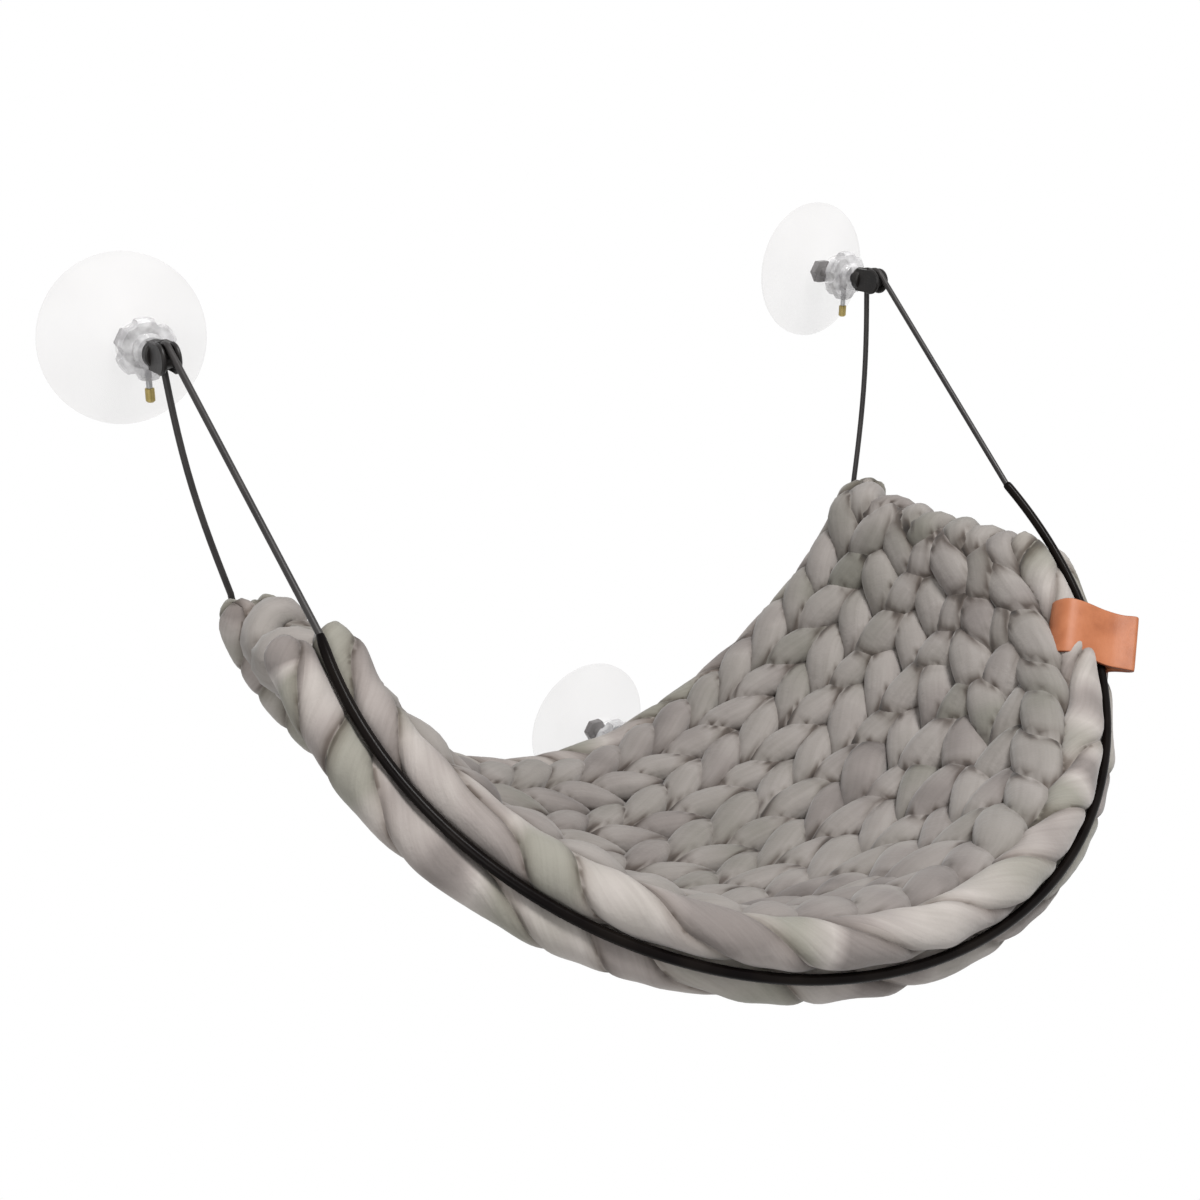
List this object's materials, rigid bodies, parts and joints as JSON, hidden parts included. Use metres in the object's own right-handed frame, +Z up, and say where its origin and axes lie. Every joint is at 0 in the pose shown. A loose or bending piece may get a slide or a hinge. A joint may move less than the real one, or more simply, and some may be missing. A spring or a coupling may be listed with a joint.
{
  "type": "window mounted cat perch",
  "caption": "Window-mounted sling perch for a cat: a chunky knitted mat hangs on a coated cable from clear suction cups with thumb nuts, its back edge held near the glass.",
  "frame": {"origin": "on the glass, midway between the centres of the two upper suction cups", "axes": "+X along the glass to the right seen from the room, +Y into the glass, +Z up"},
  "size_m": [0.541, 0.3709, 0.3657],
  "materials": {
    "clear_vinyl": "clear soft vinyl, glossy",
    "zinc_steel": "dark zinc plated",
    "clear_nylon": "natural nylon, milky",
    "clear_nut": "clear moulded plastic, polished",
    "pin_steel": "drawn steel, grey",
    "grip_brass": "dull brass",
    "knob_black": "black moulded plastic, satin",
    "cable_black": "black coating, satin",
    "sleeve_aluminium": "crimped, dull",
    "tube_black": "black tube, low gloss",
    "yarn_bed": "thick soft yarn, taupe grey",
    "yarn_edging": "thick soft yarn, taupe grey",
    "tan_leather": "smooth tan leather, raw edge"
  },
  "bodies": {
    "cups": {"left_suction_cup": "clear_vinyl", "left_stud": "zinc_steel", "left_cable_knob": "knob_black", "right_suction_cup": "clear_vinyl", "right_stud": "zinc_steel", "right_cable_knob": "knob_black"},
    "sling": {"suspension_cable": "cable_black", "crimp_sleeve": "sleeve_aluminium", "rim_tube": "tube_black", "knitted_bed": "yarn_bed", "front_edging": "yarn_edging", "back_edging": "yarn_edging", "leather_tag": "tan_leather", "lower_suction_cup": "clear_vinyl", "lower_stud": "zinc_steel", "lower_cable_knob": "knob_black"},
    "left_washer_ring": {"left_washer": "clear_nylon"},
    "left_nut": {"left_thumb_nut": "clear_nut"},
    "left_pin": {"left_lock_pin": "pin_steel", "left_pin_grip": "grip_brass"},
    "right_washer_ring": {"right_washer": "clear_nylon"},
    "right_nut": {"right_thumb_nut": "clear_nut"},
    "right_pin": {"right_lock_pin": "pin_steel", "right_pin_grip": "grip_brass"},
    "lower_washer_ring": {"lower_washer": "clear_nylon"},
    "lower_nut": {"lower_thumb_nut": "clear_nut"},
    "lower_pin": {"lower_lock_pin": "pin_steel", "lower_pin_grip": "grip_brass"}
  },
  "joints": [
    {"name": "sling_swing", "type": "hinge", "parent": "cups", "child": "sling", "pos_m": [0, -0.058, 0], "axis": [-1, 0, 0], "range_deg": [0, 40]},
    {"name": "left_washer_slide", "type": "slide", "parent": "cups", "child": "left_washer_ring", "axis": [0, -1, 0], "range_m": [0, 0.0038]},
    {"name": "left_nut_turn", "type": "hinge", "parent": "left_washer_ring", "child": "left_nut", "pos_m": [-0.228, 0, 0], "axis": [0, -1, 0], "range_deg": [0, 1360]},
    {"name": "left_pin_slide", "type": "slide", "parent": "left_nut", "child": "left_pin", "axis": [0, 0, -1], "range_m": [0, 0.008]},
    {"name": "right_washer_slide", "type": "slide", "parent": "cups", "child": "right_washer_ring", "axis": [0, -1, 0], "range_m": [0, 0.0038]},
    {"name": "right_nut_turn", "type": "hinge", "parent": "right_washer_ring", "child": "right_nut", "pos_m": [0.228, 0, 0], "axis": [0, -1, 0], "range_deg": [0, 1360]},
    {"name": "right_pin_slide", "type": "slide", "parent": "right_nut", "child": "right_pin", "axis": [0, 0, -1], "range_m": [0, 0.008]},
    {"name": "lower_washer_slide", "type": "slide", "parent": "sling", "child": "lower_washer_ring", "axis": [0, -1, 0], "range_m": [0, 0.0038]},
    {"name": "lower_nut_turn", "type": "hinge", "parent": "lower_washer_ring", "child": "lower_nut", "pos_m": [0.054, 0, -0.28075], "axis": [0, -1, 0], "range_deg": [0, 1360]},
    {"name": "lower_pin_slide", "type": "slide", "parent": "lower_nut", "child": "lower_pin", "axis": [0, 0, -1], "range_m": [0, 0.008]}
  ],
  "couplings": [
    {"joint": "left_washer_slide", "follows": "left_nut_turn", "m_per_rad": 0.00015915},
    {"joint": "right_washer_slide", "follows": "right_nut_turn", "m_per_rad": 0.00015915},
    {"joint": "lower_washer_slide", "follows": "lower_nut_turn", "m_per_rad": 0.00015915}
  ]
}
